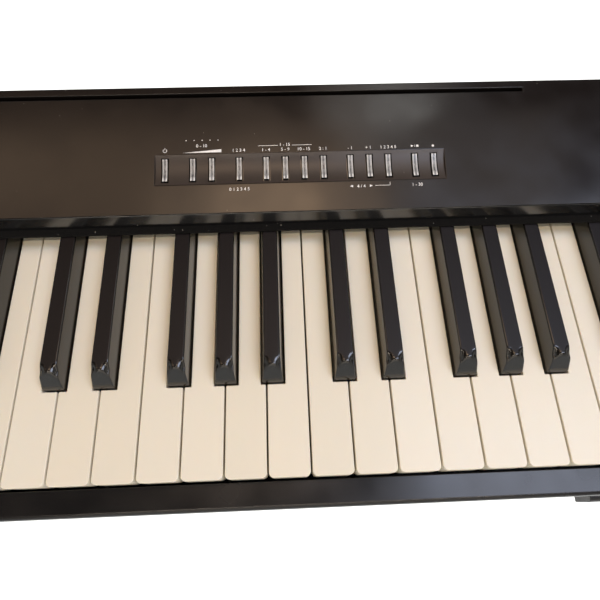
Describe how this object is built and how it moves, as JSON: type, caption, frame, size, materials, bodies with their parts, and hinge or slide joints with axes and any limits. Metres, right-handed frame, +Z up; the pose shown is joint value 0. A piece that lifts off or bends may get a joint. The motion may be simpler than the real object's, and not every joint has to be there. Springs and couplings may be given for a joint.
{
  "type": "digital piano on stand",
  "caption": "Slab digital piano with weighted hinged keys, a row of light-bar push buttons behind them and a flat furniture stand of two side boards and a back panel.",
  "frame": {"origin": "on the floor, under the middle of the instrument", "axes": "+X up the keyboard to the treble end, +Y to the back, +Z up"},
  "size_m": [1.3, 0.33, 0.771],
  "materials": {
    "case_plastic": "satin",
    "panel_plastic": "satin",
    "fascia_gloss": "gloss",
    "felt": "matte",
    "chassis_plastic": "matte",
    "rod_steel": "bright",
    "circuit_board": "satin",
    "jack_plastic": "satin",
    "speaker_metal": "matte",
    "rubber": "matte",
    "stand_board": "satin laminate",
    "fixing_steel": "zinc plated",
    "button_plastic": "translucent satin",
    "white_key": "satin",
    "black_key": "satin gloss",
    "hammer_metal": "matte"
  },
  "bodies": {
    "case": {"bottom_case": "case_plastic", "top_case": "panel_plastic", "left_end_block": "case_plastic", "right_end_block": "case_plastic", "front_rail": "case_plastic", "fascia_strip": "fascia_gloss", "key_felts": "felt", "key_chassis": "chassis_plastic", "pivot_rods": "rod_steel", "circuit_boards": "circuit_board", "jacks": "jack_plastic", "speakers": "speaker_metal", "rubber_feet": "rubber", "stand_left_side": "stand_board", "stand_right_side": "stand_board", "stand_back_panel": "stand_board", "fixings": "fixing_steel"},
    "bass_keys": {"bass_white_keys": "white_key", "bass_black_keys": "black_key"},
    "key_f_4": {"key_f_4": "white_key"},
    "key_f_sharp_4": {"key_f_sharp_4": "black_key"},
    "key_g_4": {"key_g_4": "white_key"},
    "key_g_sharp_4": {"key_g_sharp_4": "black_key"},
    "key_a_4": {"key_a_4": "white_key"},
    "key_a_sharp_4": {"key_a_sharp_4": "black_key"},
    "key_b_4": {"key_b_4": "white_key"},
    "key_c_5": {"key_c_5": "white_key"},
    "key_c_sharp_5": {"key_c_sharp_5": "black_key"},
    "key_d_5": {"key_d_5": "white_key"},
    "key_d_sharp_5": {"key_d_sharp_5": "black_key"},
    "key_e_5": {"key_e_5": "white_key"},
    "treble_keys": {"treble_white_keys": "white_key", "treble_black_keys": "black_key"},
    "bass_hammers": {"bass_hammers": "hammer_metal"},
    "hammer_f_4": {"hammer_f_4": "hammer_metal"},
    "hammer_f_sharp_4": {"hammer_f_sharp_4": "hammer_metal"},
    "hammer_g_4": {"hammer_g_4": "hammer_metal"},
    "hammer_g_sharp_4": {"hammer_g_sharp_4": "hammer_metal"},
    "hammer_a_4": {"hammer_a_4": "hammer_metal"},
    "hammer_a_sharp_4": {"hammer_a_sharp_4": "hammer_metal"},
    "hammer_b_4": {"hammer_b_4": "hammer_metal"},
    "hammer_c_5": {"hammer_c_5": "hammer_metal"},
    "hammer_c_sharp_5": {"hammer_c_sharp_5": "hammer_metal"},
    "hammer_d_5": {"hammer_d_5": "hammer_metal"},
    "hammer_d_sharp_5": {"hammer_d_sharp_5": "hammer_metal"},
    "hammer_e_5": {"hammer_e_5": "hammer_metal"},
    "treble_hammers": {"treble_hammers": "hammer_metal"},
    "button_power": {"button_power": "button_plastic"},
    "button_volume_down": {"button_volume_down": "button_plastic"},
    "button_volume_up": {"button_volume_up": "button_plastic"},
    "button_function": {"button_function": "button_plastic"},
    "button_tone_1": {"button_tone_1": "button_plastic"},
    "button_tone_2": {"button_tone_2": "button_plastic"},
    "button_tone_3": {"button_tone_3": "button_plastic"},
    "button_split": {"button_split": "button_plastic"},
    "button_slow": {"button_slow": "button_plastic"},
    "button_fast": {"button_fast": "button_plastic"},
    "button_metronome": {"button_metronome": "button_plastic"},
    "button_play": {"button_play": "button_plastic"},
    "button_record": {"button_record": "button_plastic"}
  },
  "joints": [
    {"name": "bass_keys_hinge", "type": "hinge", "parent": "case", "child": "bass_keys", "pos_m": [0, 0.09, 0.719], "axis": [1, 0, 0], "range_deg": [0, 2.65]},
    {"name": "key_f_4_hinge", "type": "hinge", "parent": "case", "child": "key_f_4", "pos_m": [0, 0.09, 0.719], "axis": [1, 0, 0], "range_deg": [0, 2.65]},
    {"name": "key_f_sharp_4_hinge", "type": "hinge", "parent": "case", "child": "key_f_sharp_4", "pos_m": [0, 0.09, 0.719], "axis": [1, 0, 0], "range_deg": [0, 2.65]},
    {"name": "key_g_4_hinge", "type": "hinge", "parent": "case", "child": "key_g_4", "pos_m": [0, 0.09, 0.719], "axis": [1, 0, 0], "range_deg": [0, 2.65]},
    {"name": "key_g_sharp_4_hinge", "type": "hinge", "parent": "case", "child": "key_g_sharp_4", "pos_m": [0, 0.09, 0.719], "axis": [1, 0, 0], "range_deg": [0, 2.65]},
    {"name": "key_a_4_hinge", "type": "hinge", "parent": "case", "child": "key_a_4", "pos_m": [0, 0.09, 0.719], "axis": [1, 0, 0], "range_deg": [0, 2.65]},
    {"name": "key_a_sharp_4_hinge", "type": "hinge", "parent": "case", "child": "key_a_sharp_4", "pos_m": [0, 0.09, 0.719], "axis": [1, 0, 0], "range_deg": [0, 2.65]},
    {"name": "key_b_4_hinge", "type": "hinge", "parent": "case", "child": "key_b_4", "pos_m": [0, 0.09, 0.719], "axis": [1, 0, 0], "range_deg": [0, 2.65]},
    {"name": "key_c_5_hinge", "type": "hinge", "parent": "case", "child": "key_c_5", "pos_m": [0, 0.09, 0.719], "axis": [1, 0, 0], "range_deg": [0, 2.65]},
    {"name": "key_c_sharp_5_hinge", "type": "hinge", "parent": "case", "child": "key_c_sharp_5", "pos_m": [0, 0.09, 0.719], "axis": [1, 0, 0], "range_deg": [0, 2.65]},
    {"name": "key_d_5_hinge", "type": "hinge", "parent": "case", "child": "key_d_5", "pos_m": [0, 0.09, 0.719], "axis": [1, 0, 0], "range_deg": [0, 2.65]},
    {"name": "key_d_sharp_5_hinge", "type": "hinge", "parent": "case", "child": "key_d_sharp_5", "pos_m": [0, 0.09, 0.719], "axis": [1, 0, 0], "range_deg": [0, 2.65]},
    {"name": "key_e_5_hinge", "type": "hinge", "parent": "case", "child": "key_e_5", "pos_m": [0, 0.09, 0.719], "axis": [1, 0, 0], "range_deg": [0, 2.65]},
    {"name": "treble_keys_hinge", "type": "hinge", "parent": "case", "child": "treble_keys", "pos_m": [0, 0.09, 0.719], "axis": [1, 0, 0], "range_deg": [0, 2.65]},
    {"name": "bass_hammers_hinge", "type": "hinge", "parent": "case", "child": "bass_hammers", "pos_m": [0, -0.011, 0.684], "axis": [1, 0, 0], "range_deg": [0, 11.8]},
    {"name": "hammer_f_4_hinge", "type": "hinge", "parent": "case", "child": "hammer_f_4", "pos_m": [0, -0.011, 0.684], "axis": [1, 0, 0], "range_deg": [0, 11.8]},
    {"name": "hammer_f_sharp_4_hinge", "type": "hinge", "parent": "case", "child": "hammer_f_sharp_4", "pos_m": [0, -0.011, 0.684], "axis": [1, 0, 0], "range_deg": [0, 11.8]},
    {"name": "hammer_g_4_hinge", "type": "hinge", "parent": "case", "child": "hammer_g_4", "pos_m": [0, -0.011, 0.684], "axis": [1, 0, 0], "range_deg": [0, 11.8]},
    {"name": "hammer_g_sharp_4_hinge", "type": "hinge", "parent": "case", "child": "hammer_g_sharp_4", "pos_m": [0, -0.011, 0.684], "axis": [1, 0, 0], "range_deg": [0, 11.8]},
    {"name": "hammer_a_4_hinge", "type": "hinge", "parent": "case", "child": "hammer_a_4", "pos_m": [0, -0.011, 0.684], "axis": [1, 0, 0], "range_deg": [0, 11.8]},
    {"name": "hammer_a_sharp_4_hinge", "type": "hinge", "parent": "case", "child": "hammer_a_sharp_4", "pos_m": [0, -0.011, 0.684], "axis": [1, 0, 0], "range_deg": [0, 11.8]},
    {"name": "hammer_b_4_hinge", "type": "hinge", "parent": "case", "child": "hammer_b_4", "pos_m": [0, -0.011, 0.684], "axis": [1, 0, 0], "range_deg": [0, 11.8]},
    {"name": "hammer_c_5_hinge", "type": "hinge", "parent": "case", "child": "hammer_c_5", "pos_m": [0, -0.011, 0.684], "axis": [1, 0, 0], "range_deg": [0, 11.8]},
    {"name": "hammer_c_sharp_5_hinge", "type": "hinge", "parent": "case", "child": "hammer_c_sharp_5", "pos_m": [0, -0.011, 0.684], "axis": [1, 0, 0], "range_deg": [0, 11.8]},
    {"name": "hammer_d_5_hinge", "type": "hinge", "parent": "case", "child": "hammer_d_5", "pos_m": [0, -0.011, 0.684], "axis": [1, 0, 0], "range_deg": [0, 11.8]},
    {"name": "hammer_d_sharp_5_hinge", "type": "hinge", "parent": "case", "child": "hammer_d_sharp_5", "pos_m": [0, -0.011, 0.684], "axis": [1, 0, 0], "range_deg": [0, 11.8]},
    {"name": "hammer_e_5_hinge", "type": "hinge", "parent": "case", "child": "hammer_e_5", "pos_m": [0, -0.011, 0.684], "axis": [1, 0, 0], "range_deg": [0, 11.8]},
    {"name": "treble_hammers_hinge", "type": "hinge", "parent": "case", "child": "treble_hammers", "pos_m": [0, -0.011, 0.684], "axis": [1, 0, 0], "range_deg": [0, 11.8]},
    {"name": "button_power_press", "type": "slide", "parent": "case", "child": "button_power", "axis": [0, 0.2057, -0.9786], "range_m": [0, 0.001], "stiffness_N_per_m": 300, "springref_m": -0.0015},
    {"name": "button_volume_down_press", "type": "slide", "parent": "case", "child": "button_volume_down", "axis": [0, 0.2057, -0.9786], "range_m": [0, 0.001], "stiffness_N_per_m": 300, "springref_m": -0.0015},
    {"name": "button_volume_up_press", "type": "slide", "parent": "case", "child": "button_volume_up", "axis": [0, 0.2057, -0.9786], "range_m": [0, 0.001], "stiffness_N_per_m": 300, "springref_m": -0.0015},
    {"name": "button_function_press", "type": "slide", "parent": "case", "child": "button_function", "axis": [0, 0.2057, -0.9786], "range_m": [0, 0.001], "stiffness_N_per_m": 300, "springref_m": -0.0015},
    {"name": "button_tone_1_press", "type": "slide", "parent": "case", "child": "button_tone_1", "axis": [0, 0.2057, -0.9786], "range_m": [0, 0.001], "stiffness_N_per_m": 300, "springref_m": -0.0015},
    {"name": "button_tone_2_press", "type": "slide", "parent": "case", "child": "button_tone_2", "axis": [0, 0.2057, -0.9786], "range_m": [0, 0.001], "stiffness_N_per_m": 300, "springref_m": -0.0015},
    {"name": "button_tone_3_press", "type": "slide", "parent": "case", "child": "button_tone_3", "axis": [0, 0.2057, -0.9786], "range_m": [0, 0.001], "stiffness_N_per_m": 300, "springref_m": -0.0015},
    {"name": "button_split_press", "type": "slide", "parent": "case", "child": "button_split", "axis": [0, 0.2057, -0.9786], "range_m": [0, 0.001], "stiffness_N_per_m": 300, "springref_m": -0.0015},
    {"name": "button_slow_press", "type": "slide", "parent": "case", "child": "button_slow", "axis": [0, 0.2057, -0.9786], "range_m": [0, 0.001], "stiffness_N_per_m": 300, "springref_m": -0.0015},
    {"name": "button_fast_press", "type": "slide", "parent": "case", "child": "button_fast", "axis": [0, 0.2057, -0.9786], "range_m": [0, 0.001], "stiffness_N_per_m": 300, "springref_m": -0.0015},
    {"name": "button_metronome_press", "type": "slide", "parent": "case", "child": "button_metronome", "axis": [0, 0.2057, -0.9786], "range_m": [0, 0.001], "stiffness_N_per_m": 300, "springref_m": -0.0015},
    {"name": "button_play_press", "type": "slide", "parent": "case", "child": "button_play", "axis": [0, 0.2057, -0.9786], "range_m": [0, 0.001], "stiffness_N_per_m": 300, "springref_m": -0.0015},
    {"name": "button_record_press", "type": "slide", "parent": "case", "child": "button_record", "axis": [0, 0.2057, -0.9786], "range_m": [0, 0.001], "stiffness_N_per_m": 300, "springref_m": -0.0015}
  ],
  "couplings": [
    {"joint": "bass_hammers_hinge", "follows": "bass_keys_hinge", "ratio": 4.45},
    {"joint": "hammer_f_4_hinge", "follows": "key_f_4_hinge", "ratio": 4.45},
    {"joint": "hammer_f_sharp_4_hinge", "follows": "key_f_sharp_4_hinge", "ratio": 4.45},
    {"joint": "hammer_g_4_hinge", "follows": "key_g_4_hinge", "ratio": 4.45},
    {"joint": "hammer_g_sharp_4_hinge", "follows": "key_g_sharp_4_hinge", "ratio": 4.45},
    {"joint": "hammer_a_4_hinge", "follows": "key_a_4_hinge", "ratio": 4.45},
    {"joint": "hammer_a_sharp_4_hinge", "follows": "key_a_sharp_4_hinge", "ratio": 4.45},
    {"joint": "hammer_b_4_hinge", "follows": "key_b_4_hinge", "ratio": 4.45},
    {"joint": "hammer_c_5_hinge", "follows": "key_c_5_hinge", "ratio": 4.45},
    {"joint": "hammer_c_sharp_5_hinge", "follows": "key_c_sharp_5_hinge", "ratio": 4.45},
    {"joint": "hammer_d_5_hinge", "follows": "key_d_5_hinge", "ratio": 4.45},
    {"joint": "hammer_d_sharp_5_hinge", "follows": "key_d_sharp_5_hinge", "ratio": 4.45},
    {"joint": "hammer_e_5_hinge", "follows": "key_e_5_hinge", "ratio": 4.45},
    {"joint": "treble_hammers_hinge", "follows": "treble_keys_hinge", "ratio": 4.45}
  ]
}
